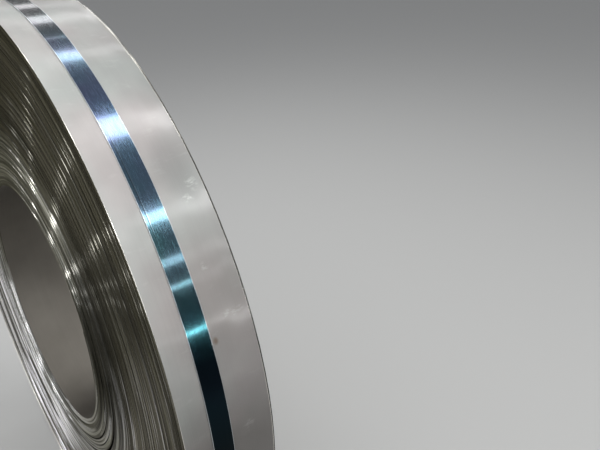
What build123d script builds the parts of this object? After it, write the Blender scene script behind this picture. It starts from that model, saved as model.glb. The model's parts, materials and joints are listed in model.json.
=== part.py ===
from build123d import *
import os
from math import acos, atan2, cos, degrees, radians, sin

# Slit steel coil: one length of cold-rolled strip wound round a 20 inch bore, tied with one steel strap.
#
# All lengths are in millimetres. The origin is the centre of the bore at mid-width, +Y runs along the
# coil's axis and +Z is up. Angles round the coil are in degrees, from +X towards +Z, which is how they
# read on Plane.XZ. Seen from -Y the strip winds on clockwise, so the coil grows as the angle falls.

# Winding
outer_diameter = 1200.0
bore_diameter = 508.0
strip_width = 140.0
strip_thickness = 1.5
fill = 0.98                 # share of the winding that is steel, the rest is air between the turns
telescope = 3.0             # how far the turns wander to and fro along the axis

# Bands of turns that lie at one place along the axis, from the bore outwards: how many parts of the
# winding each takes, and how far it has slipped along the axis, as a share of the telescope.
bands = [
    (3, 0.50), (6, 0.00), (4, 0.60), (9, 0.20), (5, 0.85), (7, 0.45), (4, 1.00),
    (10, 0.30), (6, 0.70), (8, 0.10), (5, 0.55), (7, 0.00), (4, 0.40),
]
outer_turns = 4             # whole turns in the outermost band, which ends in the tail
outer_slip = 0.15

# Crescent gaps where turns near the bore have come loose: how many turns lie inside the gap, its middle
# round the coil, the angle it spans, and its widest opening.
loose_gaps = [
    (26, -24.0, 84.0, 4.0),
    (42, -30.0, 64.0, 3.0),
]

# Free end of the strip, on the far side of the coil
tail_angle = 140.0          # where the last turn stops following the coil
tail_length = 60.0          # the straight end past that place, which springs up off the turn below

# Strap and its seal
strap_width = 32.0
strap_thickness = 0.9
strap_offset = -14.9        # the strap's centre along the axis
strap_fit = 0.1             # clearance between the strap and the turn under it
seal_from_tail = 45.0       # angle from the root of the free end to the middle of the seal
seal_length = 57.0
seal_sheet = 1.0
seal_fit = 0.1              # clearance between the seal and the strap ends inside it
seal_flange = 7.0           # how far each edge of the seal folds back in under the strap
lap_end = 12.0              # how far the upper strap end sticks out of the seal
crimp_spacing = 26.0
crimp_depth = 3.2           # how far a crimp bites in past the strap's edge

outer_radius = outer_diameter / 2
bore_radius = bore_diameter / 2
pitch = strip_thickness / fill
core_radius = outer_radius - outer_turns * pitch
core_turns = (core_radius - bore_radius) / pitch
overall_width = strip_width + telescope


def direction(angle):
    """Unit vector at an angle round the coil."""
    return Vector(cos(radians(angle)), sin(radians(angle)))


def polar(centre, radius, angle):
    """Point at a radius and an angle from a centre."""
    return centre + direction(angle) * radius


def front_of(slip):
    """Place along the axis of the front edge of turns that have slipped by a share of the telescope."""
    return slip * telescope - overall_width / 2


def square_to_axis(y_high):
    """Sketch plane across the coil. What is extruded from it grows towards -Y."""
    return Plane.XZ.offset(-y_high)


def ring_sector(centre, radius_low, radius_high, angle_low, angle_high):
    """Piece of a flat ring between two radii and two angles."""
    with BuildLine() as outline:
        CenterArc(centre, radius_high, angle_low, angle_high - angle_low)
        CenterArc(centre, radius_low, angle_low, angle_high - angle_low)
        Line(polar(centre, radius_low, angle_low), polar(centre, radius_high, angle_low))
        Line(polar(centre, radius_low, angle_high), polar(centre, radius_high, angle_high))
    make_face(outline.edges())


# The last turn is a spiral that grows by one strip thickness. It is drawn as four quarter arcs whose
# centres are the corners of a small square, so that each arc runs smoothly into the next.
quarter_gain = strip_thickness / 4
tail_out = direction(tail_angle)
tail_side = direction(tail_angle + 90)
wrap_centres = [
    (tail_out - tail_side) * (quarter_gain / 2),
    (tail_out + tail_side) * (quarter_gain / 2),
    (tail_side - tail_out) * (quarter_gain / 2),
    (tail_out + tail_side) * (-quarter_gain / 2),
]
wrap_radii = [outer_radius - quarter_gain * (quarter + 0.5) for quarter in range(4)]
wrap_starts = [tail_angle + 90 * quarter for quarter in range(4)]

# The free end leaves the spiral at a tangent, so it stands off the coil more and more towards its edge.
tail_root = polar(wrap_centres[0], wrap_radii[0], tail_angle)
tail_tip = tail_root - tail_side * tail_length
tail_under = tail_out * -strip_thickness

with BuildPart() as coil:
    # Inner turns, each band a step at both ends of the coil because all turns are the same width
    bands_total = sum(parts for parts, slip in bands)
    front_points = []
    back_points = []
    parts_so_far = 0
    inner = bore_radius
    for parts, slip in bands:
        parts_so_far += parts
        outer = bore_radius + core_turns * pitch * parts_so_far / bands_total
        front_points += [(inner, front_of(slip)), (outer, front_of(slip))]
        back_points += [(inner, front_of(slip) + strip_width), (outer, front_of(slip) + strip_width)]
        inner = outer
    with BuildSketch(Plane.XY):
        with BuildLine():
            Polyline(*front_points, *reversed(back_points), close=True)
        make_face()
    revolve(axis=Axis.Y)

    # Outermost turns, out to the spiral of the last one
    with BuildSketch(square_to_axis(front_of(outer_slip) + strip_width)):
        with BuildLine():
            for centre, radius, start in zip(wrap_centres, wrap_radii, wrap_starts):
                CenterArc(centre, radius, start, 90)
            Line(polar(wrap_centres[3], wrap_radii[3], tail_angle), tail_root)
        make_face()
        Circle(core_radius, mode=Mode.SUBTRACT)
    extrude(amount=strip_width)

    # Free end of the strip
    with BuildSketch(square_to_axis(front_of(outer_slip) + strip_width)):
        with BuildLine():
            Polyline(tail_root, tail_tip, tail_tip + tail_under, tail_root + tail_under, close=True)
        make_face()
    extrude(amount=strip_width)

    # Crescent gaps between the loose turns near the bore
    for turns_inside, middle, span, opening in loose_gaps:
        gap_radius = bore_radius + turns_inside * pitch
        gap_start = direction(middle - span / 2) * gap_radius
        gap_end = direction(middle + span / 2) * gap_radius
        with BuildSketch(square_to_axis(overall_width / 2)):
            with BuildLine():
                ThreePointArc(gap_start, direction(middle) * gap_radius, gap_end)
                ThreePointArc(gap_start, direction(middle) * (gap_radius - opening), gap_end)
            make_face()
        extrude(amount=overall_width, mode=Mode.SUBTRACT)

# Under the seal the strap rides on the seal's flanges, and from there it runs straight down to the coil.
seal_angle = tail_angle + seal_from_tail
seal_centre = wrap_centres[0]
seat_radius = wrap_radii[0] + strap_fit
lifted_radius = seat_radius + seal_sheet + seal_fit
seal_half = degrees(seal_length / 2 / lifted_radius)
ramp = degrees(acos(seat_radius / lifted_radius))
lap_angle = degrees(lap_end / lifted_radius)

# Past the strip's free end the strap runs straight down to the turn below.
tip_corner = tail_tip + tail_out * strap_fit
landing_radius = wrap_radii[3] + strap_fit
from_tip = tip_corner - wrap_centres[3]
landing_angle = degrees(atan2(from_tip.Y, from_tip.X)) - degrees(acos(landing_radius / from_tip.length))

seal_out = direction(seal_angle)
seal_plane = Plane(
    origin=(seal_out.X * lifted_radius, strap_offset, seal_out.Y * lifted_radius),
    x_dir=(-seal_out.Y, 0, seal_out.X),
    z_dir=(seal_out.X, 0, seal_out.Y),
)

with BuildPart(seal_plane, mode=Mode.PRIVATE) as crimps:
    # Two scallops bitten out of each side of the seal, through the strap ends inside it
    with BuildSketch():
        with GridLocations(crimp_spacing, strap_width + 2 * (seal_fit + seal_sheet), 2, 2):
            Circle(seal_fit + seal_sheet + crimp_depth)
    extrude(amount=4 * (seal_sheet + strap_thickness), both=True)

with BuildPart() as strap:
    with BuildSketch(square_to_axis(strap_offset + strap_width / 2)):
        with BuildLine() as inner_face:
            CenterArc(seal_centre, seat_radius, tail_angle, seal_from_tail - seal_half - ramp)
            Line(
                polar(seal_centre, seat_radius, seal_angle - seal_half - ramp),
                polar(seal_centre, lifted_radius, seal_angle - seal_half),
            )
            CenterArc(seal_centre, lifted_radius, seal_angle - seal_half, 2 * seal_half)
            Line(
                polar(seal_centre, lifted_radius, seal_angle + seal_half),
                polar(seal_centre, seat_radius, seal_angle + seal_half + ramp),
            )
            CenterArc(
                seal_centre,
                seat_radius,
                seal_angle + seal_half + ramp,
                90 - seal_from_tail - seal_half - ramp,
            )
            CenterArc(wrap_centres[1], wrap_radii[1] + strap_fit, wrap_starts[1], 90)
            CenterArc(wrap_centres[2], wrap_radii[2] + strap_fit, wrap_starts[2], 90)
            CenterArc(wrap_centres[3], landing_radius, tail_angle - 90, landing_angle - tail_angle + 90)
            Line(polar(wrap_centres[3], landing_radius, landing_angle), tip_corner)
            Line(tip_corner, polar(seal_centre, seat_radius, tail_angle))
        make_face()
        offset(amount=strap_thickness, kind=Kind.INTERSECTION)
        make_face(inner_face.edges(), mode=Mode.SUBTRACT)
        # The upper end of the strap, lapped over the lower one inside the seal
        ring_sector(
            seal_centre,
            lifted_radius + strap_thickness,
            lifted_radius + 2 * strap_thickness,
            seal_angle - seal_half,
            seal_angle + seal_half + lap_angle,
        )
    extrude(amount=strap_width)
    add(crimps.part, mode=Mode.SUBTRACT)

with BuildPart() as strap_seal:
    # Sheet folded round both strap ends
    outer_width = strap_width + 2 * (seal_fit + seal_sheet)
    cavity_width = strap_width + 2 * seal_fit
    slot_width = strap_width - 2 * seal_flange
    cavity_top = lifted_radius + 2 * strap_thickness + seal_fit
    with BuildSketch(square_to_axis(strap_offset + outer_width / 2)):
        ring_sector(
            seal_centre,
            seat_radius,
            cavity_top + seal_sheet,
            seal_angle - seal_half,
            seal_angle + seal_half,
        )
    extrude(amount=outer_width)
    with BuildSketch(square_to_axis(strap_offset + cavity_width / 2)):
        ring_sector(
            seal_centre,
            seat_radius + seal_sheet,
            cavity_top,
            seal_angle - 2 * seal_half,
            seal_angle + 2 * seal_half,
        )
    extrude(amount=cavity_width, mode=Mode.SUBTRACT)
    with BuildSketch(square_to_axis(strap_offset + slot_width / 2)):
        ring_sector(
            seal_centre,
            seat_radius - seal_sheet,
            cavity_top,
            seal_angle - 2 * seal_half,
            seal_angle + 2 * seal_half,
        )
    extrude(amount=slot_width, mode=Mode.SUBTRACT)
    add(crimps.part, mode=Mode.SUBTRACT)

os.makedirs("parts", exist_ok=True)
coil.part.label = "coil"
strap.part.label = "strap"
strap_seal.part.label = "strap_seal"
export_step(coil.part, "parts/coil.step")
export_step(strap.part, "parts/strap.step")
export_step(strap_seal.part, "parts/strap_seal.step")

print("coil", coil.part.bounding_box(), "volume", coil.part.volume)
print("strap", strap.part.bounding_box(), "volume", strap.part.volume)
print("strap_seal", strap_seal.part.bounding_box(), "volume", strap_seal.part.volume)
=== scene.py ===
# %% [markdown]
# # A slit steel coil
#
# Slitting cuts a wide coil of cold-rolled steel into narrow ones. Each is one long strip wound on itself,
# held by a single steel strap. What the eye reads is the satin rim, the gloss of the blued strap across
# it, and the dark end, where hundreds of sheared edges lie side by side.

# %% Load the solid model as a fixed frame
import json
import math

import bmesh
import bpy
from mathutils import Matrix, Vector


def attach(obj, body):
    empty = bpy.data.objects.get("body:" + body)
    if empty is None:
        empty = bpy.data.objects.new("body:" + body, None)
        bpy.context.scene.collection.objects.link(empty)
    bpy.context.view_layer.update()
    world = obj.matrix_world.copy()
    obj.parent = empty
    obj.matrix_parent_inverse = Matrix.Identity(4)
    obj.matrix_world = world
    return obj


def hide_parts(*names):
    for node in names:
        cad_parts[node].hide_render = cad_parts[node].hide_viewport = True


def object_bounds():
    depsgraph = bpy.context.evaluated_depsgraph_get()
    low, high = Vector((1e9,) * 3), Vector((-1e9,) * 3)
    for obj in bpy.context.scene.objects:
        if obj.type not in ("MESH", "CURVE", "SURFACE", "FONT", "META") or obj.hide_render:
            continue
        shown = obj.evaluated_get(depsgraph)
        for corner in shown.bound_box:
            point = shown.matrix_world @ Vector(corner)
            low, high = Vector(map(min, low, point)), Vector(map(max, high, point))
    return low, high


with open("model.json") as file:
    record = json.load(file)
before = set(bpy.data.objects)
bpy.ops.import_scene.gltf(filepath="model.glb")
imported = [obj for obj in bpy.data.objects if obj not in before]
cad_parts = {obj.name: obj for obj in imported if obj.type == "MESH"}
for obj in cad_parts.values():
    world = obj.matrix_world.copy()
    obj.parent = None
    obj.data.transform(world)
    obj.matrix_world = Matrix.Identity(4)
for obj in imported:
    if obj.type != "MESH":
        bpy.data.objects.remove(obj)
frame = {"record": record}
solid_low, solid_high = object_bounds()
print("solid box", [round(v, 4) for v in (*solid_low, *solid_high)])

# %% [markdown]
# ## Sizes
#
# Everything is in metres, with the coil's axis along Y and the centre of its bore at the origin. The bore
# comes from the model's own record, and the other sizes are the ones the coil was bought to.

# %% Sizes of the strip, the coil and the strap
mounts = {mount["name"]: mount for mount in frame["record"]["mounts"]}
bore_radius = mounts["bore"]["dims"]["r_mm"] / 1000
strip_width = mounts["bore"]["dims"]["length_mm"] / 1000
outer_radius = 0.600
strip_thickness = 0.0015
telescope = 0.003

# Angles in degrees round the coil, from +X towards +Z. The strip winds on as the angle falls.
head_angle = 18.0
tail_angle = 140.0
tail_length = 0.060
whole_turns = 226
turns = whole_turns - (tail_angle - head_angle) / 360
pitch = (outer_radius - bore_radius - strip_thickness) / turns
print("turns", round(turns, 2), "pitch in mm", round(pitch * 1000, 3))

strap_width = 0.032
strap_thickness = 0.0009
strap_offset = -0.0149
strap_fit = 0.0001


# %% [markdown]
# ## Two small helpers
#
# Every node tree here is built by one function. Values go to the node's inputs in order, a word with a
# capital names an input, and any other word is a setting of the node. Colours are written as on a paint
# card, in sRGB hex, and one function turns them into the linear values that light is added up in.

# %% Helpers for nodes and colours
def add(tree, kind, *values, out=None, **words):
    """Adds a node, fills its inputs, and gives back one of its outputs."""
    made = tree.nodes.new(kind)
    for word, value in words.items():
        if word[0].islower():
            setattr(made, word, value)
    inputs = [socket for socket in made.inputs if socket.enabled]
    by_name = {socket.name: socket for socket in reversed(inputs)}
    pairs = list(zip(inputs, values))
    pairs += [(by_name[word.replace("_", " ")], value) for word, value in words.items() if word[0].isupper()]
    for socket, value in pairs:
        if isinstance(value, bpy.types.NodeSocket):
            tree.links.new(value, socket)
        elif value is not None:
            socket.default_value = value
    outputs = [socket for socket in made.outputs if socket.enabled]
    return next((socket for socket in outputs if socket.name == out), outputs[0] if outputs else None)


def colour(code):
    """Linear RGBA of an sRGB hex colour."""
    parts = [int(code[i:i + 2], 16) / 255 for i in (1, 3, 5)]
    return (*[p / 12.92 if p <= 0.04045 else ((p + 0.055) / 1.055) ** 2.4 for p in parts], 1.0)


# %% [markdown]
# ## The camera
#
# The photograph was taken standing close, looking down along the row of turns, so the coil runs out of
# the picture at the top, the left and the bottom. The same place and lens are used here.

# %% Camera
camera_place = Vector((1.1419, -0.3228, 0.7589))
camera_forward = Vector((-0.6812, 0.5535, -0.4791))
camera = bpy.data.objects.new("camera", bpy.data.cameras.new("camera"))
bpy.context.collection.objects.link(camera)
camera.location = camera_place
camera.rotation_euler = camera_forward.to_track_quat("-Z", "Y").to_euler()
camera.data.lens = 37.6
camera.data.sensor_width = 36.0
camera.data.clip_start = 0.01
bpy.context.scene.camera = camera
bpy.context.scene.view_settings.view_transform = "Standard"
print("camera", round(camera_place.length, 2), "m from the middle of the bore")

# %% [markdown]
# ## Wide faces: cold-rolled steel
#
# Cold rolling leaves a satin metal that mirrors softly. The rolls' grinding marks run along the strip, so
# a reflection smears across the width and stays sharper along it, which is anisotropy. Oil and handling
# leave faint clouds, and the film of oil is thicker towards the far edge, where the metal is glossier. Its
# colour is painted light: lighter at the near edge and darker at the far edge. One material could be a
# flat grey, but then the rim would look like plastic.

# %% A fresh material, and patches of a real size
def new_finish(name):
    """Gives a material with no nodes yet, its tree, and the place on the object that its patterns read."""
    finish = bpy.data.materials.new(name)
    finish.use_nodes = True
    finish.node_tree.nodes.clear()
    return finish, finish.node_tree, add(finish.node_tree, "ShaderNodeTexCoord", out="Object")


def patches(tree, place, around, along_axis, **settings):
    """Noise whose patches are so many millimetres wide round the coil and along its axis."""
    scale = (1000 / around, 1000 / along_axis, 1000 / around)
    stretched = add(tree, "ShaderNodeMapping", place, Scale=scale)
    return add(tree, "ShaderNodeTexNoise", stretched, Scale=1.0, **settings)


# %% Cold-rolled steel: clouds, the film of oil, and painted light across the width
rolled, tree, place = new_finish("cold-rolled steel")
cloud_size = 125
tint_size = 166.67
clouds = patches(tree, place, cloud_size, cloud_size, Detail=3.0, Roughness=0.5)
cloudy = add(tree, "ShaderNodeMapRange", clouds, 0.36, 0.64, 0.0, 1.0)
steel = add(tree, "ShaderNodeMix", cloudy, colour("#A09F9D"), colour("#B1B0AE"), data_type="RGBA")
warmth = patches(tree, place, tint_size, tint_size, Detail=2.0)
warmth = add(tree, "ShaderNodeMapRange", warmth, 0.38, 0.62, 0.0, 1.0)
tint = add(tree, "ShaderNodeMix", warmth, colour("#FAFFFD"), colour("#FFFAFA"), data_type="RGBA")
steel = add(tree, "ShaderNodeMix", 1.0, steel, tint, data_type="RGBA", blend_type="MULTIPLY")
across = add(tree, "ShaderNodeAttribute", attribute_name="across", out="Fac")
# Painted light: across the width the colour runs from lighter at the near edge to darker at the far edge.
# The same share sets the oil's gloss further down.
film_and_side_light = add(tree, "ShaderNodeMapRange", across, -strip_width / 2, strip_width / 2, 0.0, 1.0)
lit_near_edge, shaded_far_edge = (1.18, 1.18, 1.18, 1.0), (0.86, 0.86, 0.86, 1.0)
painted_side_light = add(tree, "ShaderNodeMix", film_and_side_light, lit_near_edge, shaded_far_edge, data_type="RGBA")
steel = add(tree, "ShaderNodeMix", 1.0, steel, painted_side_light, data_type="RGBA", blend_type="MULTIPLY")
print(rolled.name, "clouds", cloud_size, "mm wide")

# %% [markdown]
# Handling leaves marks on the rim: a few scuffs with bright strokes in them, some short rubs, a darker
# cloud, and a brown spot where a drop of water stood. Two wide darker places low on the rim are painted
# shade. A mark is a soft spot in space. Its place is given by the angle round the coil and the place
# along the axis, and its half sizes in millimetres.

# %% A soft spot, and a mark on the rim
def soft_spot(tree, place, middle, halves, inside=1.0, outside=0.0):
    """Soft spot round a middle: one value in its core, another one outside its half sizes."""
    core = 0.35
    off = add(tree, "ShaderNodeVectorMath", place, middle, operation="SUBTRACT")
    off = add(tree, "ShaderNodeVectorMath", off, tuple(1 / half for half in halves), operation="MULTIPLY")
    far = add(tree, "ShaderNodeVectorMath", off, operation="LENGTH", out="Value")
    return add(tree, "ShaderNodeMapRange", far, core, 1.0, inside, outside)


def direction(angle):
    """Unit vector across the coil at an angle in degrees, as (x, z)."""
    return Vector((math.cos(math.radians(angle)), math.sin(math.radians(angle))))


def mark(tree, place, angle, y, half_around, half_along):
    """Soft spot on the rim, placed in degrees and millimetres."""
    out = direction(angle) * outer_radius
    middle = (out.x, y / 1000, out.y)
    return soft_spot(tree, place, middle, (half_around / 1000, half_along / 1000, half_around / 1000))


# %% Cold-rolled steel: scuffs and rubs
scuffs = [
    (24.3, 41, 8, 22), (24.6, 58, 6, 7), (42.0, 52, 14, 11),
    (31.2, 24, 8, 7), (40.2, 38, 7, 14), (8.0, 30, 9, 12),
]
strokes = patches(tree, place, around=3.125, along_axis=8.333, Detail=2.0, Roughness=0.6)
strokes = add(tree, "ShaderNodeMapRange", strokes, 0.46, 0.66, 0.0, 1.0)
rubs = patches(tree, place, around=18.18, along_axis=55.56, Detail=3.0, Roughness=0.7)
scuffed = add(tree, "ShaderNodeMapRange", rubs, 0.60, 0.76, 0.0, 0.25)
for scuff in scuffs:
    spot = add(tree, "ShaderNodeMath", mark(tree, place, *scuff), strokes, operation="MULTIPLY")
    scuffed = add(tree, "ShaderNodeMath", scuffed, spot, operation="MAXIMUM")
scuffed = add(tree, "ShaderNodeMath", scuffed, 0.36, operation="MULTIPLY")
steel = add(tree, "ShaderNodeMix", scuffed, steel, colour("#F2F4F0"), data_type="RGBA")
print(len(scuffs), "scuffs")

# %% Cold-rolled steel: painted shade, a darker cloud and a water spot
# Angle, place along the axis and half sizes of each place, then strength and colour. The places at 2 and
# 27.5 degrees are painted shade, the one at 45.5 a darker cloud, and the one at 21.6 a brown water spot.
stains_and_shade = [
    ((45.5, 36, 60, 34), 0.5, "#8D8C8A"),
    ((27.5, 25, 115, 110), 0.5, "#8C8884"),
    ((2, 0, 150, 180), 0.7, "#6F6B68"),
    ((21.6, 7.1, 7, 5), 0.7, "#7A6656"),
]
for darker_place, strength, code in stains_and_shade:
    darkened = add(tree, "ShaderNodeMath", mark(tree, place, *darker_place), strength, operation="MULTIPLY")
    steel = add(tree, "ShaderNodeMix", darkened, steel, colour(code), data_type="RGBA")
print(len(stains_and_shade), "stains_and_shade")

# %% [markdown]
# ## Painted shade, painted light and dust on the ends
#
# Beside the bore the loose turns are painted dark, which is painted shade, and a fainter painted shade
# lies half way out, where the dashes of light are few. Lower down the edges are painted lighter and
# greyer, which is painted light, and dust makes the slivers there rougher. This reaches higher on the outer
# turns than on the inner ones, which it hardly lightens, and on the outermost ones it is half as strong.
# Both finishes of the strip need this, so one function does it. It gives back the steel's new colour and
# how much painted light and dust it has.

# %% Painted shade, painted light and dust
# Middle and half sizes of each place of painted shade, and the share of the light that it leaves.
painted_shade_places = [
    ((0.30, 0.0, 0.09), (0.125, 1.0, 0.28), 0.13),
    ((0.42, 0.0, 0.25), (0.12, 1.0, 0.10), 0.50),
]
# A turn's distance out from the bore, less its height times the slope, says how much painted light and dust
# it gets.
light_and_dust_slope = 1.2
light_and_dust_starts, light_and_dust_full = 0.005, 0.185


def shade_light_and_dust(tree, place, turn, steel):
    """Paints shade beside the bore and half way out, and paints light low down, where dust also sticks."""
    painted_shade = 1.0
    # Painted shade beside the bore and half way out.
    for middle, halves, light_left in painted_shade_places:
        spot = soft_spot(tree, place, middle, halves, light_left, 1.0)
        painted_shade = add(tree, "ShaderNodeMath", painted_shade, spot, operation="MULTIPLY")
    painted_shade = add(tree, "ShaderNodeCombineXYZ", painted_shade, painted_shade, painted_shade)
    steel = add(tree, "ShaderNodeMix", 1.0, steel, painted_shade, data_type="RGBA", blend_type="MULTIPLY")
    built_up = add(tree, "ShaderNodeMath", turn, pitch, operation="MULTIPLY")
    low = add(tree, "ShaderNodeSeparateXYZ", place, out="Z")
    low = add(tree, "ShaderNodeMath", low, -light_and_dust_slope, built_up, operation="MULTIPLY_ADD")
    low = add(tree, "ShaderNodeMapRange", low, light_and_dust_starts, light_and_dust_full, 0.0, 1.0)
    outer = add(tree, "ShaderNodeMapRange", turn, 45.0, 75.0, 0.30, 1.0)
    outermost = add(tree, "ShaderNodeMapRange", turn, 182.0, 198.0, 1.0, 0.5)
    light_and_dust = add(tree, "ShaderNodeMath", low, outer, operation="MULTIPLY")
    light_and_dust = add(tree, "ShaderNodeMath", light_and_dust, outermost, operation="MULTIPLY")
    # Painted light: low down the edges turn lighter and bluer grey, and dust only makes them rougher.
    unchanged_tint, painted_light_tint = (1.0, 1.0, 1.0, 1.0), (3.6, 3.65, 4.5, 1.0)
    painted_light = add(tree, "ShaderNodeMix", light_and_dust, unchanged_tint, painted_light_tint, data_type="RGBA")
    return add(tree, "ShaderNodeMix", 1.0, steel, painted_light, data_type="RGBA", blend_type="MULTIPLY"), light_and_dust


# %% [markdown]
# Only the last turn shows its whole face. Inside the winding the faces are smeared with oil and painted
# near black, as painted shade in the gaps between the turns. All that a neighbour leaves open is a sliver
# at the edge, less than a millimetre wide, which the shear has rolled over by some 12 degrees. Those
# slivers are what catches the lamps all down the end of the coil, as short silver dashes. The first turn
# shows too, as the wall of the bore, painted darker as painted shade inside the bore.
#
# The dashes come from noise that reads the turn number, so they follow the strip. A real turn is too thin
# to show by itself from where the camera stands, so the noise joins two or three turns into one dash.

# %% Cold-rolled steel: inner turns and the wall of the bore
turn = add(tree, "ShaderNodeAttribute", attribute_name="turn", out="Fac")
last = add(tree, "ShaderNodeMapRange", turn, turns - 1.03, turns - 1.0, 0.0, 1.0)
first = add(tree, "ShaderNodeMapRange", turn, 0.95, 1.0, 1.0, 0.0)
# Painted shade: the inner wide faces, oily as well, are near black, so the gaps between turns read dark.
steel = add(tree, "ShaderNodeMix", last, colour("#1F1E1B"), steel, data_type="RGBA")
# Painted shade: the wall of the bore is darker than the rim, as the shade inside the bore.
painted_shade_wall = add(tree, "ShaderNodeMix", clouds, colour("#5C5852"), colour("#7E7A73"), data_type="RGBA")
steel = add(tree, "ShaderNodeMix", first, steel, painted_shade_wall, data_type="RGBA")
print("the last turn starts at turn", round(turns - 1, 2))


# %% Noise that follows the turns
def noise_along_turns(tree, place, turn, per_turn, **settings):
    """Noise whose patches are long round the coil, and one over per_turn turns wide."""
    per_radian = 1.2
    outward = add(tree, "ShaderNodeVectorMath", place, (1.0, 0.0, 1.0), operation="MULTIPLY")
    outward = add(tree, "ShaderNodeVectorMath", outward, operation="NORMALIZE")
    stretch = (per_radian, 0.0, per_radian)
    drift = add(tree, "ShaderNodeVectorMath", outward, stretch, operation="MULTIPLY")
    along_radius = add(tree, "ShaderNodeMath", turn, per_turn, operation="MULTIPLY")
    return add(
        tree, "ShaderNodeTexNoise", drift, along_radius, noise_dimensions="4D", Scale=1.0, **settings
    )


# %% Cold-rolled steel: slivers of the rolled-over edges
sliver_width = 0.0007
sliver_starts = strip_width / 2 - sliver_width
from_middle = add(tree, "ShaderNodeMath", across, operation="ABSOLUTE")
rollover = add(tree, "ShaderNodeMapRange", from_middle, sliver_starts - 0.0001, sliver_starts, 0.0, 1.0)
dirty = noise_along_turns(tree, place, turn, 0.40, Detail=1.0, Roughness=0.6)
dirt = add(tree, "ShaderNodeMapRange", dirty, 0.38, 0.60, 0.70, 1.15)
wiped = noise_along_turns(tree, place, turn, 0.35, Detail=0.0)
wiped = add(tree, "ShaderNodeMapRange", wiped, 0.53, 0.58, 0.10, 3.2)
dirt = add(tree, "ShaderNodeMath", dirt, wiped, operation="MULTIPLY")
dirt = add(tree, "ShaderNodeCombineXYZ", dirt, dirt, dirt)
far_out = add(tree, "ShaderNodeMapRange", turn, 50.0, 85.0, 0.0, 1.0)
oiled = add(tree, "ShaderNodeMix", far_out, colour("#96958F"), colour("#575650"), data_type="RGBA")
oiled = add(tree, "ShaderNodeMix", 1.0, oiled, dirt, data_type="RGBA", blend_type="MULTIPLY")
oiled, light_and_dust = shade_light_and_dust(tree, place, turn, oiled)
oiled = add(tree, "ShaderNodeMix", last, oiled, colour("#E8E5DD"), data_type="RGBA")
steel = add(tree, "ShaderNodeMix", rollover, steel, oiled, data_type="RGBA")
print("slivers", round(sliver_width * 1000, 1), "mm wide")

# %% [markdown]
# The bump has two scales. Lines are the grinding of the rolls, drawn a millimetre apart because the real
# ones are too fine to show. Waves a hand wide are the strip's own flatness, which bends the edge of every
# reflection a little.

# %% Cold-rolled steel: roughness
line_spacing = 1.111
lines = patches(tree, place, around=500, along_axis=line_spacing, Detail=4.0, Roughness=0.6)
rough = add(tree, "ShaderNodeMapRange", lines, 0.3, 0.7, 0.50, 0.58)
worn = add(tree, "ShaderNodeMapRange", dirty, 0.35, 0.65, 0.10, 0.20)
worn = add(tree, "ShaderNodeMath", light_and_dust, 0.22, worn, operation="MULTIPLY_ADD")
worn = add(tree, "ShaderNodeMix", last, worn, 0.26)
rough = add(tree, "ShaderNodeMix", rollover, rough, worn)
print(rolled.name, "lines", line_spacing, "mm apart")

# %% Cold-rolled steel: bump, waves and the lean of the slivers
wave_size = 111.1
waves = patches(tree, place, around=wave_size, along_axis=45.45, Detail=1.0)
wavy = add(tree, "ShaderNodeBump", Strength=1.0, Distance=0.0025, Height=waves)
bump = add(tree, "ShaderNodeBump", Strength=0.06, Distance=0.0001, Height=lines, Normal=wavy)
rolled_over_by = math.radians(12.0)
which_end = add(tree, "ShaderNodeMath", across, operation="SIGN")
lean = add(tree, "ShaderNodeMath", which_end, rollover, operation="MULTIPLY")
lean = add(tree, "ShaderNodeMath", lean, math.tan(rolled_over_by), operation="MULTIPLY")
lean = add(tree, "ShaderNodeCombineXYZ", Y=lean)
leaning = add(tree, "ShaderNodeVectorMath", bump, lean, operation="ADD")
leaning = add(tree, "ShaderNodeVectorMath", leaning, operation="NORMALIZE")
print(rolled.name, "waves", wave_size, "mm long")


# %% The way that a reflection smears
def across_the_lines(tree, place):
    """Direction on the surface, square to lines that run round the coil."""
    facing = add(tree, "ShaderNodeNewGeometry", out="Normal")
    around = add(tree, "ShaderNodeVectorMath", place, (0.0, 1.0, 0.0), operation="CROSS_PRODUCT")
    return add(tree, "ShaderNodeVectorMath", facing, around, operation="CROSS_PRODUCT")


# %% Cold-rolled steel: the gloss of the oil, and the finish
gloss = add(tree, "ShaderNodeMapRange", film_and_side_light, 0.0, 1.0, 0.10, 0.60)
patchy = add(tree, "ShaderNodeMapRange", clouds, 0.40, 0.60, 0.7, 1.0)
gloss = add(tree, "ShaderNodeMath", gloss, patchy, operation="MULTIPLY")
gloss = add(tree, "ShaderNodeMath", gloss, last, operation="MULTIPLY")
skin = add(
    tree,
    "ShaderNodeBsdfPrincipled",
    Base_Color=steel,
    Metallic=1.0,
    Roughness=rough,
    Normal=leaning,
    Anisotropic=0.3,
    Tangent=across_the_lines(tree, place),
    Coat_Weight=gloss,
    Coat_Roughness=0.16,
    Coat_Normal=wavy,
)
add(tree, "ShaderNodeOutputMaterial", skin)
print(rolled.name, len(tree.nodes), "nodes")

# %% [markdown]
# ## Narrow faces: sheared edges
#
# A slit edge is half bright shear and half dull break, and it holds oil. Side by side the edges look dark
# olive, with single turns lighter than the rest, and nearer the bore, where the turns were handled, they
# are cleaner and bluer. Dull steel seen nearly edge-on still turns bright, so the specular tint, which
# colours just that glancing shine, is dark.

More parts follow.
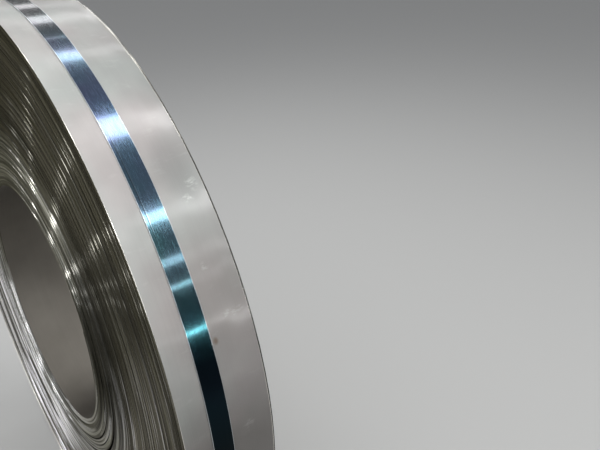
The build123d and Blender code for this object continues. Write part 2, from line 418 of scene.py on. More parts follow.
# %% Sheared edges: dull break
sheared, tree, place = new_finish("sheared steel edge")
turn = add(tree, "ShaderNodeAttribute", attribute_name="turn", out="Fac")
bundle = noise_along_turns(tree, place, turn, 0.40, Detail=3.0, Roughness=0.6)
bundle = add(tree, "ShaderNodeMapRange", bundle, 0.38, 0.66, 0.0, 1.0)
body = add(tree, "ShaderNodeMix", bundle, colour("#3A382B"), colour("#4E4B3F"), data_type="RGBA")
far_out = add(tree, "ShaderNodeMapRange", turn, 55.0, 85.0, 0.0, 1.0)
handled, untouched = (2.9, 3.05, 3.55, 1.0), (1.0, 1.0, 1.0, 1.0)
cleaner = add(tree, "ShaderNodeMix", far_out, handled, untouched, data_type="RGBA")
body = add(tree, "ShaderNodeMix", 1.0, body, cleaner, data_type="RGBA", blend_type="MULTIPLY")
each = noise_along_turns(tree, place, turn, 0.35, Detail=0.0)
own = add(tree, "ShaderNodeMapRange", each, 0.50, 0.59, 0.80, 1.75)
own = add(tree, "ShaderNodeCombineXYZ", own, own, own)
body = add(tree, "ShaderNodeMix", 1.0, body, own, data_type="RGBA", blend_type="MULTIPLY")
body, light_and_dust = shade_light_and_dust(tree, place, turn, body)
print("dull break in", len(tree.nodes), "nodes")

# %% Sheared edges: bright shear, and the finish
depth = add(tree, "ShaderNodeAttribute", attribute_name="depth", out="Fac")
sheared_to = add(tree, "ShaderNodeMapRange", each, 0.3, 0.7, -0.8, 0.6)
is_bright = add(tree, "ShaderNodeMapRange", depth, sheared_to, 1.0, 0.0, 0.6)
edge_colour = add(tree, "ShaderNodeMix", is_bright, body, colour("#8E8A7E"), data_type="RGBA")
skin = add(
    tree,
    "ShaderNodeBsdfPrincipled",
    Base_Color=edge_colour,
    Metallic=1.0,
    Specular_Tint=colour("#8A877C"),
    Roughness=0.70,
    Anisotropic=0.5,
    Tangent=across_the_lines(tree, place),
)
add(tree, "ShaderNodeOutputMaterial", skin)
print(sheared.name, len(tree.nodes), "nodes")

# %% [markdown]
# ## Strap: blued steel
#
# Strapping is hardened and drawn through hot oil, which leaves a thin blue-black oxide on bright metal. It
# mirrors a lamp almost as a sharp line, and between the lamps it falls to navy. How thick the oxide grew
# sets its colour: teal low down, then navy, then grey at the top. Below the teal the colour is painted
# near black, which is painted shade low down on the strap.

# %% Blued steel: the colour of the oxide, and painted shade low down
blued, tree, place = new_finish("blued spring steel")
height = add(tree, "ShaderNodeSeparateXYZ", place, out="Z")
heat_and_shade = add(tree, "ShaderNodeValToRGB", height)
ramp_stops = heat_and_shade.node.color_ramp.elements
# Heights and colours: the two lowest stops are painted shade, and the others are the colours of the oxide.
oxide_and_shade_stops = [
    (0.06, "#10181C"), (0.20, "#1D2A32"), (0.25, "#2F5358"), (0.31, "#496468"), (0.36, "#56747C"),
    (0.43, "#5C6E80"), (0.50, "#68778F"), (0.56, "#64727E"), (0.575, "#5A5F60"), (0.60, "#565654"),
]
ramp_stops.remove(ramp_stops[1])
for at, code in oxide_and_shade_stops:
    ramp_stops.new(at).color = colour(code)
ramp_stops.remove(ramp_stops[0])
tinge_size = 71.43
tinge = patches(tree, place, tinge_size, tinge_size, Detail=2.0)
tinge = add(tree, "ShaderNodeMapRange", tinge, 0.38, 0.62, 0.0, 1.0)
tinge = add(tree, "ShaderNodeMix", tinge, colour("#EDE4F0"), colour("#E8F6F6"), data_type="RGBA")
oxide_and_shade = add(tree, "ShaderNodeMix", 1.0, heat_and_shade, tinge, data_type="RGBA", blend_type="MULTIPLY")
print(blued.name, len(ramp_stops), "oxide colours")

# %% [markdown]
# The tool that pulled the strap tight has run a double scratch along it near one edge, dark where it bit
# and bright where it burnished. At the strap's own two edges the oxide is worn through to bare steel.

# %% Blued steel: scratch and worn edges
off_middle = add(tree, "ShaderNodeSeparateXYZ", place, out="Y")
off_middle = add(tree, "ShaderNodeMath", off_middle, -strap_offset, operation="ADD")
stretch = add(tree, "ShaderNodeMapRange", height, 0.35, 0.38, 0.0, 1.0)
stretch_end = add(tree, "ShaderNodeMapRange", height, 0.450, 0.475, 1.0, 0.0)
stretch = add(tree, "ShaderNodeMath", stretch, stretch_end, operation="MULTIPLY")
# Place from the strap's middle, half width and colour of each line of the scratch.
scratch_lines = [(-0.0108, 0.0008, "#10161E"), (-0.0097, 0.0005, "#8C9DAA")]
for at, half, code in scratch_lines:
    aside = add(tree, "ShaderNodeMath", off_middle, at, operation="SUBTRACT")
    aside = add(tree, "ShaderNodeMath", aside, operation="ABSOLUTE")
    groove = add(tree, "ShaderNodeMapRange", aside, half, half / 2, 0.0, 0.7)
    groove = add(tree, "ShaderNodeMath", groove, stretch, operation="MULTIPLY")
    oxide_and_shade = add(tree, "ShaderNodeMix", groove, oxide_and_shade, colour(code), data_type="RGBA")
wear_starts = strap_width / 2 - 0.0008
to_edge = add(tree, "ShaderNodeMath", off_middle, operation="ABSOLUTE")
bare = add(tree, "ShaderNodeMapRange", to_edge, wear_starts, wear_starts + 0.0003, 0.0, 1.0)
oxide_and_shade = add(tree, "ShaderNodeMix", bare, oxide_and_shade, colour("#C4CACD"), data_type="RGBA")
print("scratch of", len(scratch_lines), "lines on", blued.name)

# %% [markdown]
# Real scratches on a strap are a tenth of a millimetre apart, too fine to see one by one. Mixed with the
# smooth metal between them, they give each lamp's image a bright core and a soft fringe, so here the
# roughness runs between two values along lines about a fifth of a millimetre wide. Over the coil's
# shoulder, where hands and hooks have touched the strap, it is a little duller.

# %% Blued steel: gloss
scratch_spacing = 0.20833
scratches = patches(tree, place, around=16.667, along_axis=scratch_spacing, Detail=2.0, Roughness=0.6)
rough = add(tree, "ShaderNodeMapRange", scratches, 0.46, 0.66, 0.075, 0.27)
touched = add(tree, "ShaderNodeMapRange", height, 0.33, 0.37, 0.0, 0.030)
untouched = add(tree, "ShaderNodeMapRange", height, 0.555, 0.565, 1.0, 0.0)
rough = add(tree, "ShaderNodeMath", touched, untouched, rough, operation="MULTIPLY_ADD")
rough = add(tree, "ShaderNodeMix", bare, rough, 0.30)
skin = add(
    tree,
    "ShaderNodeBsdfPrincipled",
    Base_Color=oxide_and_shade,
    Metallic=1.0,
    Roughness=rough,
    Anisotropic=0.3,
    Tangent=across_the_lines(tree, place),
)
add(tree, "ShaderNodeOutputMaterial", skin)
print(blued.name, len(tree.nodes), "nodes")

# %% [markdown]
# ## Seal: blackened steel
#
# Seals are stamped from thin sheet, tumbled and oiled black. The tumbling dulls them evenly and rubs the
# folds a little lighter, so they mirror less than the strap does.

# %% Blackened steel
blackened, tree, place = new_finish("blackened seal steel")
mottle_size = 2.381
mottle = patches(tree, place, mottle_size, mottle_size, Detail=3.0, Roughness=0.6)
black = add(tree, "ShaderNodeMapRange", mottle, 0.35, 0.68, 0.0, 1.0)
black = add(tree, "ShaderNodeMix", black, colour("#43474D"), colour("#5C6168"), data_type="RGBA")
aside = add(tree, "ShaderNodeSeparateXYZ", place, out="Y")
aside = add(tree, "ShaderNodeMath", aside, strap_offset, operation="SUBTRACT")
aside = add(tree, "ShaderNodeMath", aside, operation="ABSOLUTE")
rub_starts = strap_width / 2 - 0.0004
rubbed = add(tree, "ShaderNodeMapRange", aside, rub_starts, rub_starts + 0.0012, 0.0, 0.6)
black = add(tree, "ShaderNodeMix", rubbed, black, colour("#9AA0A6"), data_type="RGBA")
rough = add(tree, "ShaderNodeMapRange", mottle, 0.3, 0.7, 0.34, 0.46)
skin = add(tree, "ShaderNodeBsdfPrincipled", Base_Color=black, Metallic=1.0, Roughness=rough)
add(tree, "ShaderNodeOutputMaterial", skin)
print(blackened.name, len(tree.nodes), "nodes")

# %% [markdown]
# ## The strip, wound by Geometry Nodes
#
# A coil could be faked with a cylinder and a picture of rings. Here the strip itself is wound: a straight
# line is cut into points, each point is carried to its place on the spiral, and the strip's rectangle is
# swept along. The rule is short, because a point needs only its turn number: that gives its angle, its
# radius, and how far its turn has slipped along the axis.
#
# First comes a group for one loose place near the bore. Turns inside it sag inwards over part of the
# coil, which opens a dark crescent between them and the turns outside.

# %% Node group: turns that have come loose
def socket(tree, name, kind="NodeSocketFloat", way="INPUT"):
    """Declares one socket on the outside of a node group."""
    return tree.interface.new_socket(name=name, in_out=way, socket_type=kind)


loose = bpy.data.node_groups.new("loose turns", "GeometryNodeTree")
for name in ("Turn", "Lead", "Turns Inside", "Span", "Opening"):
    socket(loose, name)
socket(loose, "Sag", way="OUTPUT")
given = {output.name: output for output in add(loose, "NodeGroupInput").node.outputs}
past = add(loose, "ShaderNodeMath", given["Turn"], given["Lead"], operation="SUBTRACT")
passage = add(loose, "ShaderNodeMath", past, operation="ROUND")
off = add(loose, "ShaderNodeMath", past, passage, operation="SUBTRACT")
off = add(loose, "ShaderNodeMath", off, operation="ABSOLUTE")
half_span = add(loose, "ShaderNodeMath", given["Span"], 2.0, operation="DIVIDE")
phase = add(loose, "ShaderNodeMapRange", off, 0.0, half_span, 0.0, math.pi)
swell = add(loose, "ShaderNodeMath", phase, operation="COSINE")
swell = add(loose, "ShaderNodeMath", swell, 0.5, 0.5, operation="MULTIPLY_ADD")
is_inside = add(loose, "ShaderNodeMath", passage, given["Turns Inside"], operation="LESS_THAN")
sag = add(loose, "ShaderNodeMath", swell, given["Opening"], operation="MULTIPLY")
sag = add(loose, "ShaderNodeMath", sag, is_inside, operation="MULTIPLY")
add(loose, "NodeGroupOutput", sag)
print(loose.name, len(loose.nodes), "nodes")

# %% [markdown]
# The bands are the same ones that the solid has at its ends: how many parts of the winding each takes,
# and how far it has slipped. They go into a curve that is read by the turn number. The last band lies
# back, so that the very last turn, which is pushed forward to the front, draws a bright line with a dark
# one inside it. The loose places are given by the turns inside, the middle of the gap in degrees, its
# span, and its opening in millimetres. The strip's first turn springs in a little at its free end.

# %% The winding's bands and loose places
bands = [
    (3, 0.50), (6, 0.00), (4, 0.60), (9, 0.20), (5, 0.85), (7, 0.45), (4, 1.00),
    (10, 0.30), (6, 0.70), (8, 0.10), (5, 0.55), (7, 0.00), (4, 0.40), (1.4, 0.95),
]
loose_places = [
    (5, -10.0, 100.0, 0.5),
    (13, -16.0, 110.0, 0.7),
    (28, -24.0, 120.0, 3.4),
    (36, -20.0, 130.0, 2.2),
    (44, -26.0, 150.0, 5.6),
]
openings = sum(opening for inside, middle, span, opening in loose_places)
print(len(bands), "bands", round(openings, 1), "mm of openings in all")

# %% The winding's inputs
strip_sizes = {
    "Bore Radius": bore_radius,
    "Pitch": pitch,
    "Turns": turns,
    "Head Angle": math.radians(head_angle),
    "Tail Length": tail_length,
    "Strip Width": strip_width,
    "Strip Thickness": strip_thickness,
    "Telescope": telescope,
    "Wander": 0.0007,
    "Head Spring": 0.002,
    "Head Reach": 0.20,
    "Points per Turn": 96.0,
    "Seed": 0.0,
}
strip_finishes = {"Wide Faces": rolled, "Narrow Faces": sheared}
winding = bpy.data.node_groups.new("wound strip", "GeometryNodeTree")
winding.is_modifier = True
for name in strip_sizes:
    socket(winding, name)
for name in strip_finishes:
    socket(winding, name, "NodeSocketMaterial")
socket(winding, "Mesh", "NodeSocketGeometry", "OUTPUT")
given = {output.name: output for output in add(winding, "NodeGroupInput").node.outputs}
print(winding.name, len(strip_sizes), "sizes", len(strip_finishes), "finishes")

# %% Turn number, angle and radius of each point
built_up = add(winding, "ShaderNodeMath", given["Turns"], given["Pitch"], operation="MULTIPLY")
full_radius = add(winding, "ShaderNodeMath", built_up, given["Bore Radius"], operation="ADD")
girth = add(winding, "ShaderNodeMath", full_radius, 2 * math.pi, operation="MULTIPLY")
tail_turns = add(winding, "ShaderNodeMath", given["Tail Length"], girth, operation="DIVIDE")
all_turns = add(winding, "ShaderNodeMath", given["Turns"], tail_turns, operation="ADD")
along_line = add(winding, "GeometryNodeSplineParameter", out="Factor")
travelled = add(winding, "ShaderNodeMath", along_line, all_turns, operation="MULTIPLY")
wound = add(winding, "ShaderNodeMath", travelled, given["Turns"], operation="MINIMUM")
straight = add(winding, "ShaderNodeMath", travelled, wound, operation="SUBTRACT")
straight = add(winding, "ShaderNodeMath", straight, girth, operation="MULTIPLY")
half_sheet = add(winding, "ShaderNodeMath", given["Strip Thickness"], 0.5, operation="MULTIPLY")
first_radius = add(winding, "ShaderNodeMath", given["Bore Radius"], half_sheet, operation="ADD")
radius = add(winding, "ShaderNodeMath", wound, given["Pitch"], first_radius, operation="MULTIPLY_ADD")
for turns_inside, middle, span, opening in loose_places:
    sag = add(
        winding,
        "GeometryNodeGroup",
        node_tree=loose,
        Turn=wound,
        Lead=(head_angle - middle) / 360,
        Turns_Inside=turns_inside,
        Span=span / 360,
        Opening=opening / 1000,
    )
    radius = add(winding, "ShaderNodeMath", radius, sag, operation="SUBTRACT")
near_head = add(winding, "ShaderNodeMapRange", wound, 0.0, given["Head Reach"], 1.0, 0.0)
near_head = add(winding, "ShaderNodeMath", near_head, 2.0, operation="POWER")
sprung = add(winding, "ShaderNodeMath", near_head, given["Head Spring"], operation="MULTIPLY")
radius = add(winding, "ShaderNodeMath", radius, sprung, operation="SUBTRACT")
turned = add(winding, "ShaderNodeMath", wound, 2 * math.pi, operation="MULTIPLY")
angle = add(winding, "ShaderNodeMath", turned, given["Head Angle"], operation="SUBTRACT")
print(winding.name, len(winding.nodes), "nodes up to the angle")

# %% [markdown]
# Within a band no turn lies quite level with the next, because the winder wandered. One-dimensional noise
# read by the turn number gives each turn its own small slip, and the bands get what is left of the
# telescope, so that no turn stands out past the solid's ends.

# %% How far each turn has slipped along the axis
share = add(winding, "ShaderNodeMath", wound, given["Turns"], operation="DIVIDE")
slip = add(winding, "ShaderNodeFloatCurve", 1.0, share)
curve = slip.node.mapping.curves[0]
parts_in_all = sum(parts for parts, slipped in bands)
half_step = 0.003  # half the room that a step between two bands takes, as a share of the winding
band_start = 0.0
for parts, slipped in bands:
    band_end = band_start + parts / parts_in_all
    for at in (band_start + half_step, band_end - half_step):
        curve.points.new(at, slipped).handle_type = "VECTOR"
    band_start = band_end
curve.points.remove(curve.points[0])
curve.points.remove(curve.points[len(curve.points) - 1])
slip.node.mapping.update()
seeded = add(winding, "ShaderNodeMath", wound, given["Seed"], operation="ADD")
uneven = add(
    winding, "ShaderNodeTexNoise", noise_dimensions="1D", W=seeded, Scale=0.9, Detail=2.0, Roughness=0.65
)
stray = add(winding, "ShaderNodeMapRange", uneven, 0.25, 0.75, -1.0, 1.0)
stray = add(winding, "ShaderNodeMath", stray, given["Wander"], operation="MULTIPLY")
both_strays = add(winding, "ShaderNodeMath", given["Wander"], 2.0, operation="MULTIPLY")
band_room = add(winding, "ShaderNodeMath", given["Telescope"], both_strays, operation="SUBTRACT")
centred = add(winding, "ShaderNodeMath", slip, 0.5, operation="SUBTRACT")
axial = add(winding, "ShaderNodeMath", centred, band_room, stray, operation="MULTIPLY_ADD")
left = add(winding, "ShaderNodeMath", given["Turns"], wound, operation="SUBTRACT")
on_last = add(winding, "ShaderNodeMapRange", left, 1.05, 1.25, 1.0, 0.0)
foremost = add(winding, "ShaderNodeMath", given["Telescope"], -0.5, operation="MULTIPLY")
axial = add(winding, "ShaderNodeMix", on_last, axial, foremost)
print("curve of the bands with", len(curve.points), "points")

# %% [markdown]
# The point's place is written as if its turn number were nought, at its radius along X, and then turned
# about the axis. Sweeping the rectangle needs the curve's normals along the axis, or the strip would twist.
# The mesh keeps three numbers for its finishes: the turn, the place across the strip's width, and the
# depth, which is plus one on a turn's outer corners and minus one on its inner ones.

# %% Sweep the strip along the spiral
backwards = add(winding, "ShaderNodeMath", straight, -1.0, operation="MULTIPLY")
unturned = add(winding, "ShaderNodeCombineXYZ", radius, axial, backwards)
position = add(winding, "ShaderNodeVectorRotate", unturned, rotation_type="Y_AXIS", Angle=angle)
count = add(winding, "ShaderNodeMath", all_turns, given["Points per Turn"], operation="MULTIPLY")
line = add(winding, "GeometryNodeCurvePrimitiveLine", End=(1.0, 0.0, 0.0))
line = add(winding, "GeometryNodeResampleCurve", line, Count=count)
line = add(winding, "GeometryNodeStoreNamedAttribute", line, Name="turn", Value=wound)
line = add(winding, "GeometryNodeStoreNamedAttribute", line, Name="reach", Value=radius)
line = add(winding, "GeometryNodeStoreNamedAttribute", line, Name="slipped", Value=axial)
spiral = add(winding, "GeometryNodeSetPosition", line, Position=position)
spiral = add(winding, "GeometryNodeSetCurveNormal", spiral, mode="FREE", Normal=(0.0, 1.0, 0.0))
section = add(
    winding, "GeometryNodeCurvePrimitiveQuadrilateral", given["Strip Width"], given["Strip Thickness"]
)
strip = add(winding, "GeometryNodeCurveToMesh", spiral, section, Fill_Caps=True)
print(winding.name, len(winding.nodes), "nodes up to the sweep")

# %% What the finishes need to know about each corner
strip_place = add(winding, "GeometryNodeInputPosition")
strip_y = add(winding, "ShaderNodeSeparateXYZ", strip_place, out="Y")
slipped = add(winding, "GeometryNodeInputNamedAttribute", "slipped")
across = add(winding, "ShaderNodeMath", strip_y, slipped, operation="SUBTRACT")
strip = add(winding, "GeometryNodeStoreNamedAttribute", strip, Name="across", Value=across)
flattened = add(winding, "ShaderNodeVectorMath", strip_place, (1.0, 0.0, 1.0), operation="MULTIPLY")
corner_reach = add(winding, "ShaderNodeVectorMath", flattened, operation="LENGTH", out="Value")
reach = add(winding, "GeometryNodeInputNamedAttribute", "reach")
is_outer = add(winding, "ShaderNodeMath", corner_reach, reach, operation="GREATER_THAN")
depth = add(winding, "ShaderNodeMath", is_outer, 2.0, -1.0, operation="MULTIPLY_ADD")
strip = add(winding, "GeometryNodeStoreNamedAttribute", strip, Name="depth", Value=depth)

# %% Smooth round the coil, sharp at the strip's four corners, and a finish for each face
sharp_from = math.radians(40)
edge_angle = add(winding, "GeometryNodeInputMeshEdgeAngle", out="Unsigned Angle")
sharp = add(winding, "ShaderNodeMath", edge_angle, sharp_from, operation="GREATER_THAN")
strip = add(winding, "GeometryNodeSetShadeSmooth", strip, domain="FACE", Shade_Smooth=True)
strip = add(winding, "GeometryNodeSetShadeSmooth", strip, sharp, domain="EDGE", Shade_Smooth=False)
normal = add(winding, "GeometryNodeInputNormal")
normal_y = add(winding, "ShaderNodeSeparateXYZ", normal, out="Y")
steep = add(winding, "ShaderNodeMath", normal_y, operation="ABSOLUTE")
narrow = add(winding, "ShaderNodeMath", steep, math.cos(math.radians(45)), operation="GREATER_THAN")
strip = add(winding, "GeometryNodeRealizeInstances", strip)
strip = add(winding, "GeometryNodeSetMaterial", strip, Material=given["Wide Faces"])
strip = add(winding, "GeometryNodeSetMaterial", strip, narrow, given["Narrow Faces"])
add(winding, "NodeGroupOutput", strip)
print(winding.name, len(winding.nodes), "nodes")


# %% Run the tree and keep its mesh
def settle(piece):
    """Turns what the piece's modifiers make into its own plain mesh."""
    graph = bpy.context.evaluated_depsgraph_get()
    mesh = bpy.data.meshes.new_from_object(piece.evaluated_get(graph))
    piece.modifiers.clear()
    piece.data = mesh
    mesh.name = piece.name
    triangles = sum(len(face.vertices) - 2 for face in mesh.polygons)
    print(piece.name, len(mesh.vertices), "vertices", triangles, "triangles")


coil = bpy.data.objects.new("steel_strip", bpy.data.meshes.new("steel_strip"))
bpy.context.collection.objects.link(coil)
wind = coil.modifiers.new("wind", "NODES")
wind.node_group = winding
settings = strip_sizes | strip_finishes
for item in winding.interface.items_tree:
    if item.in_out == "INPUT":
        wind[item.identifier] = settings[item.name]
settle(coil)

# %% Where the strip belongs
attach(coil, "root")
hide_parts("coil")
print(coil.name, "keeps", [name for name in ("turn", "across", "depth") if name in coil.data.attributes])

# %% [markdown]
# ## The strap as one band
#
# The strap starts inside its seal, goes once round the coil and over the strip's free end, and comes back
# on top of its own beginning. It is drawn as a path in the plane across the coil, and a thin rectangle
# with broken corners is swept along it. The broken corners matter: they draw the fine light line that
# every strap shows at its two edges.

# %% Path of the strap
seal_angle = 185.0
seal_length = 0.057
seal_sheet = 0.001
seal_fit = 0.0001
lap_end = 0.012
lap_fit = 0.00003
last_turn_gain = strip_thickness
landing_after = 347.3  # degrees from the free end's root, where the strap comes down to the turn below


def seat(angle):
    """Place of the strap's underside where it lies on the last turn. Angles run from the free end's root."""
    return direction(angle) * (outer_radius + strap_fit - last_turn_gain * (angle - tail_angle) / 360)


seat_radius = outer_radius + strap_fit - last_turn_gain * (seal_angle - tail_angle) / 360
lifted_radius = seat_radius + seal_sheet + seal_fit
second_radius = lifted_radius + strap_thickness + lap_fit
seal_half = math.degrees(seal_length / 2 / lifted_radius)
ramp = math.degrees(math.acos(seat_radius / lifted_radius))
upper_ramp = 1.4 * ramp  # longer, because the upper end of the strap climbs onto the lower one
lap_angle = math.degrees(lap_end / lifted_radius)
tail_side = direction(tail_angle + 90)
tip_corner = direction(tail_angle) * (outer_radius + strap_fit) - tail_side * tail_length
landing_radius = outer_radius + strap_fit - last_turn_gain * landing_after / 360
landing_angle = math.degrees(math.atan2(tip_corner.y, tip_corner.x)) - math.degrees(
    math.acos(landing_radius / tip_corner.length)
)


def angles(start, stop, step=1.0):
    """Evenly spaced angles, with both ends."""
    count = max(1, round((stop - start) / step))
    return [start + (stop - start) * i / count for i in range(count + 1)]


strap_path = [direction(a) * lifted_radius for a in angles(seal_angle - seal_half, seal_angle + seal_half)]
strap_path += [seat(a) for a in angles(seal_angle + seal_half + ramp, landing_angle + 360)]
strap_path += [tip_corner]
strap_path += [seat(a) for a in angles(tail_angle, seal_angle - seal_half - upper_ramp)]
strap_path += [
    direction(a) * second_radius for a in angles(seal_angle - seal_half, seal_angle + seal_half + lap_angle)
]
print("strap path", len(strap_path), "points, lands at", round(landing_angle, 2))


# %% Sweep a section along a path
def sweep(name, path, section, middle=0.0):
    """Makes a piece by sweeping a section of (across, up) points along a path across the coil.

    The path runs so that up is to the right of it as it is read from -Y, which is away from the coil."""
    made = bmesh.new()
    rings = []
    for i, point in enumerate(path):
        before = (point - path[i - 1]).normalized() if i else None
        after = (path[i + 1] - point).normalized() if i + 1 < len(path) else None
        heading = ((before or after) + (after or before)).normalized()
        up = Vector((heading.y, -heading.x))
        stretch = 1 / max(0.5, heading.dot(after or before))  # keeps the thickness where the path bends
        ring = []
        for across, height in section:
            at = point + up * height * stretch
            ring.append(made.verts.new((at.x, middle + across, at.y)))
        rings.append(ring)
    for ring, following in zip(rings, rings[1:]):
        for i in range(len(section)):
            j = (i + 1) % len(section)
            made.faces.new((ring[i], ring[j], following[j], following[i]))
    made.faces.new(reversed(rings[0]))
    made.faces.new(rings[-1])
    bmesh.ops.recalc_face_normals(made, faces=made.faces)
    mesh = bpy.data.meshes.new(name)
    made.to_mesh(mesh)
    made.free()
    piece = bpy.data.objects.new(name, mesh)
    bpy.context.collection.objects.link(piece)
    print(name, len(mesh.polygons), "faces")
    return piece


def broken_rectangle(width, height, corner):
    """Section of a flat bar whose corners are broken off."""
    half = width / 2
    return [
        (-half + corner, 0.0), (half - corner, 0.0), (half, corner), (half, height - corner),
        (half - corner, height), (-half + corner, height), (-half, height - corner), (-half, corner),
    ]


strap_section = broken_rectangle(strap_width, strap_thickness, corner=0.0002)
strap = sweep("steel_strap", strap_path, strap_section, strap_offset)

# %% [markdown]
# ## The seal
#
# A seal is a short piece of sheet folded round both strap ends. The joint holds because a tool bites
# four notches through the seal and the strap inside it, two from each side. Here the folded sheet is
# swept like the strap, and one set of four round cutters is taken out of both pieces.

# %% Fold the seal
fold_radius = 0.0012
seal_flange = 0.007
slot_half = strap_width / 2 - seal_flange


def folded_sheet():
    """Section of the seal: a flat tube with round folds, open along the middle of its underside."""
    half = strap_width / 2 + seal_fit + seal_sheet
    top = 2 * seal_sheet + 2 * strap_thickness + 2 * seal_fit
    corners = [(-half, 0.0, 180, 270), (half, 0.0, 270, 360), (half, top, 0, 90), (-half, top, 90, 180)]
    outside = []
    for x, up, start, stop in corners:
        centre = Vector((x - math.copysign(fold_radius, x), fold_radius if up == 0.0 else top - fold_radius))
        outside.append([centre + direction(a) * fold_radius for a in angles(start, stop, 22.5)])
    inner, ceiling = half - seal_sheet, top - seal_sheet
    inside = [(-inner, seal_sheet), (-inner, ceiling), (inner, ceiling), (inner, seal_sheet)]
    return (
        [(slot_half, 0.0)]
        + [tuple(p) for p in outside[1] + outside[2] + outside[3] + outside[0]]
        + [(-slot_half, 0.0), (-slot_half, seal_sheet)]
        + inside
        + [(slot_half, seal_sheet)]
    )


seal_path = [direction(a) * seat_radius for a in angles(seal_angle - seal_half, seal_angle + seal_half, 0.5)]
seal = sweep("crimped_seal", seal_path, folded_sheet(), strap_offset)

# %% Bite the notches
crimp_spacing = 0.026
crimp_radius = 0.0043
bites = bmesh.new()
out = direction(seal_angle)
across_edge = strap_width / 2 + seal_fit + seal_sheet
for along in (-crimp_spacing / 2, crimp_spacing / 2):
    for side in (-across_edge, across_edge):
        here = out * seat_radius + Vector((-out.y, out.x)) * along
        turned = Matrix(((out.y, 0.0, out.x), (0.0, 1.0, 0.0), (-out.x, 0.0, out.y))).to_4x4()
        turned.translation = (here.x, strap_offset + side, here.y)
        bmesh.ops.create_cone(
            bites,
            cap_ends=True,
            segments=40,
            radius1=crimp_radius,
            radius2=crimp_radius,
            depth=0.02,
            matrix=turned,
        )
bites_mesh = bpy.data.meshes.new("bites")
bites.to_mesh(bites_mesh)
bites.free()
cutter = bpy.data.objects.new("bites", bites_mesh)
bpy.context.collection.objects.link(cutter)
for piece in (strap, seal):
    bite = piece.modifiers.new("bite", "BOOLEAN")
    bite.operation = "DIFFERENCE"
    bite.solver = "EXACT"
    bite.object = cutter
    settle(piece)
bpy.data.objects.remove(cutter)

# %% Smooth faces, sharp edges, and finishes
sharp_from = math.radians(28)
for piece, finish, node_name, slot_name in (
    (strap, blued, "strap", "blued_steel"),
    (seal, blackened, "strap_seal", "seal_steel"),
):
    piece.data.shade_smooth()
    piece.data.set_sharp_from_angle(angle=sharp_from)
    piece.data.materials.clear()
    piece.data.materials.append(finish)
    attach(piece, "root")
    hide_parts(node_name)
    print(piece.name, "has", sum(edge.use_edge_sharp for edge in piece.data.edges), "sharp edges")

# %% [markdown]
# ## Floor, lamps and finish
#
# A pale floor and a few long lamps parallel to the coil's axis. Each lamp shows in the gloss of the strap
# as a band straight across it, and in the satin of the rim as a soft glow. The rows start behind the
# strap's plane and carry on backwards. A second lamp in line with each one lights the near end.

# %% Floor
floor_mesh = bpy.data.meshes.new("floor")
floor_size = 30.0
floor_height = solid_low.z
corners = [(x * floor_size, y * floor_size, floor_height) for x, y in ((-1, -1), (1, -1), (1, 1), (-1, 1))]
floor_mesh.from_pydata(corners, [], [(0, 1, 2, 3)])
floor = bpy.data.objects.new("floor", floor_mesh)
bpy.context.collection.objects.link(floor)
floor_paint, tree, place = new_finish("pale floor")
skin = add(tree, "ShaderNodeBsdfPrincipled", Base_Color=colour("#BEBEBC"), Roughness=0.8)
add(tree, "ShaderNodeOutputMaterial", skin)
floor_mesh.materials.append(floor_paint)
print("floor at", round(floor_height, 4))


# %% Rows of lamps
def hang_lamp(name, place, away, length, width, radiance, along=(0.0, 1.0, 0.0)):
    """Hangs a rectangular lamp of a given radiance, with its back turned away and its length laid along."""
    light = bpy.data.lights.new(name, "AREA")
    light.shape = "RECTANGLE"
    light.size = length
    light.size_y = width
    light.energy = radiance * math.pi * length * width
    lamp = bpy.data.objects.new(name, light)
    bpy.context.collection.objects.link(lamp)
    lamp.location = place
    back = Vector(away).normalized()
    side = Vector(along).normalized()
    lamp.rotation_euler = Matrix((side, back.cross(side), back)).transposed().to_euler()


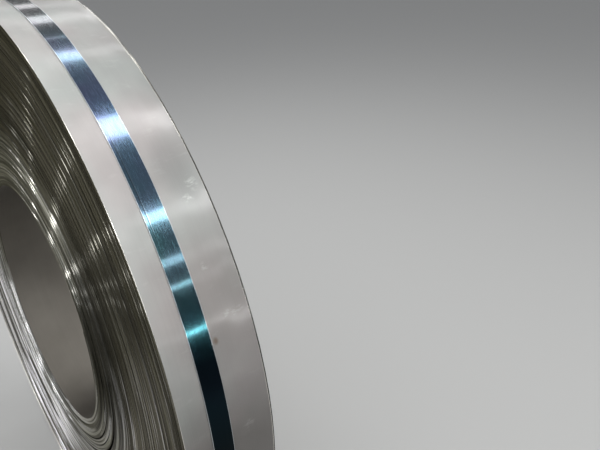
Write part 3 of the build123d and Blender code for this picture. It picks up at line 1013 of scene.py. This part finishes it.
# Place across the coil, width, radiance, start along the axis, and radiance of the lamp for the near end.
rows = [
    (-2.223, 1.773, 0.20, 3.0, 0.42, 2.0),
    (-1.867, 2.222, 0.26, 5.2, 0.46, 2.0),
    (-1.405, 2.606, 0.06, 2.5, 0.50, 1.0),
    (-0.957, 2.850, 0.24, 8.0, 0.55, 9.0),
    (0.629, 3.062, 0.42, 9.5, 0.66, 5.0),
    (2.167, 2.346, 0.18, 14.0, 0.70, 9.0),
    (2.689, 1.737, 0.13, 6.5, 0.70, 5.0),
    (2.898, 1.353, 0.08, 9.0, 0.70, 5.0),
    (3.129, 0.564, 0.07, 26.0, 0.70, 0.5),
]
row_length = 1.6
near_length = 1.0
near_middle = -0.6
for number, (x, z, width, radiance, start, near_radiance) in enumerate(rows):
    middle = start + row_length / 2
    hang_lamp(f"row_{number}", (x, middle, z), (x, 0.0, z), row_length, width, radiance)
    hang_lamp(f"near_row_{number}", (x, near_middle, z), (x, 0.0, z), near_length, width, near_radiance)
print(len(rows), "rows of lamps")

# %% [markdown]
# Wide dim lamps fill the rest of the room, so that the near strip of the rim, the end of the coil and the
# floor in front of it have something pale to mirror.

# %% Soft lamps
# Name, place, way that the back faces, length, width, radiance, and way that the length runs.
soft_lamps = [
    ("soft_right", (1.2, -1.55, 2.8), (1.2, 0.0, 2.8), 1.5, 1.3, 2.0),
    ("soft_left", (-1.3, -1.25, 2.6), (-1.3, 0.0, 2.6), 1.5, 1.3, 1.6),
    ("soft_low", (3.1, -1.55, 0.7), (3.1, 0.0, 0.7), 1.5, 1.4, 1.8),
    ("soft_front", (-0.4, -3.2, 0.4), (-0.4, -3.2, 0.7), 2.6, 1.2, 1.4, (3.2, -0.4, 0.0)),
    ("over_floor", (0.1, -1.1, 0.9), (0.0, 0.0, 1.0), 2.0, 1.0, 0.8, (1.0, 0.0, 0.0)),
]
for soft_lamp in soft_lamps:
    hang_lamp(*soft_lamp)
print(len(soft_lamps), "soft lamps")

# %% Room, a little lighter overhead
room = bpy.data.worlds.new("room")
bpy.context.scene.world = room
room.use_nodes = True
tree = room.node_tree
tree.nodes.clear()
looking = add(tree, "ShaderNodeTexCoord", out="Generated")
height = add(tree, "ShaderNodeSeparateXYZ", looking, out="Z")
overhead = add(tree, "ShaderNodeMapRange", height, 0.0, 0.75, 0.20, 0.45)
glow = add(tree, "ShaderNodeBackground", colour("#F4F6FA"), overhead)
add(tree, "ShaderNodeOutputWorld", glow)
print(room.name, len(tree.nodes), "nodes")
